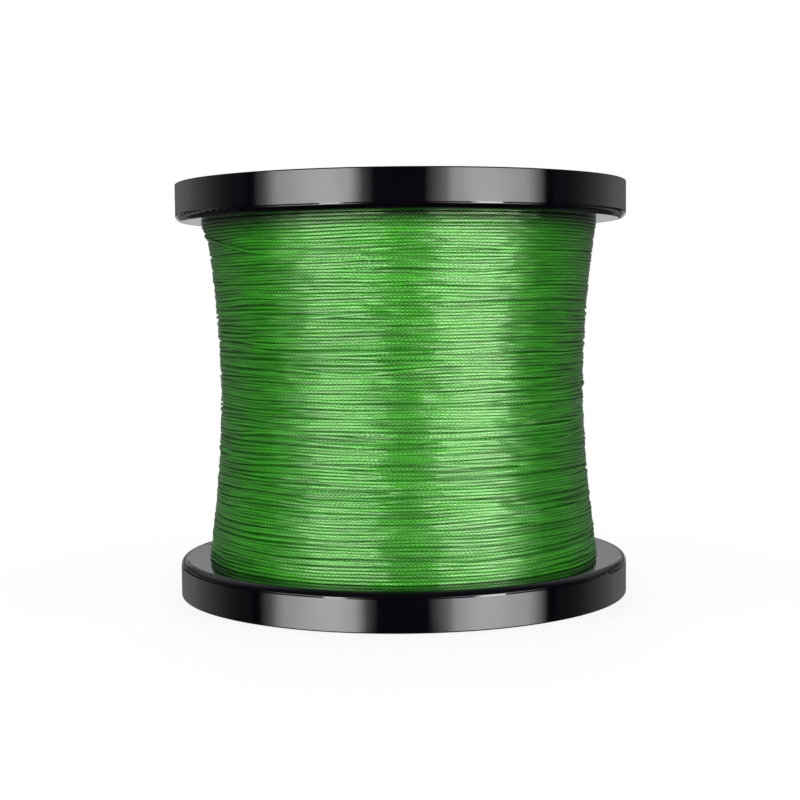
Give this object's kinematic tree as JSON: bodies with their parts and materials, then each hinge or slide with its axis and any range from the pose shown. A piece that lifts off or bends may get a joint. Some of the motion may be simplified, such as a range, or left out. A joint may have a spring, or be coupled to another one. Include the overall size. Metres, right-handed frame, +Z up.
{
  "type": "fishing line spool",
  "caption": "Flanged spool of green braided fishing line: glossy black rimmed flanges on a core tube, bored spindle sleeve, snap-in end covers with blank labels, line tail in a rim notch.",
  "frame": {"origin": "centre of the ring that the spool stands on, on the spindle axis", "axes": "+Z up along the spindle axis; -Y towards the side shown in the picture; the line notch is at 165 degrees from +X towards +Y"},
  "size_m": [0.08, 0.08, 0.0727],
  "materials": {
    "flange_plastic": "polished injection moulding, mirror-like gloss",
    "core_plastic": "fine matt, as moulded",
    "sleeve_plastic": "smooth satin",
    "cover_plastic": "fine satin texture",
    "label_paper": "blank coated paper",
    "tape_film": "thin adhesive film",
    "braided_line": "braided polyethylene, soft sheen"
  },
  "bodies": {
    "root": {"lower_flange": "flange_plastic", "upper_flange": "flange_plastic", "core_tube": "core_plastic", "spindle_sleeve": "sleeve_plastic", "lower_end_cover": "cover_plastic", "upper_end_cover": "cover_plastic", "lower_label": "label_paper", "upper_label": "label_paper", "line_start_tape": "tape_film", "line_winding": "braided_line", "line_outer_layer": "braided_line"}
  },
  "joints": []
}
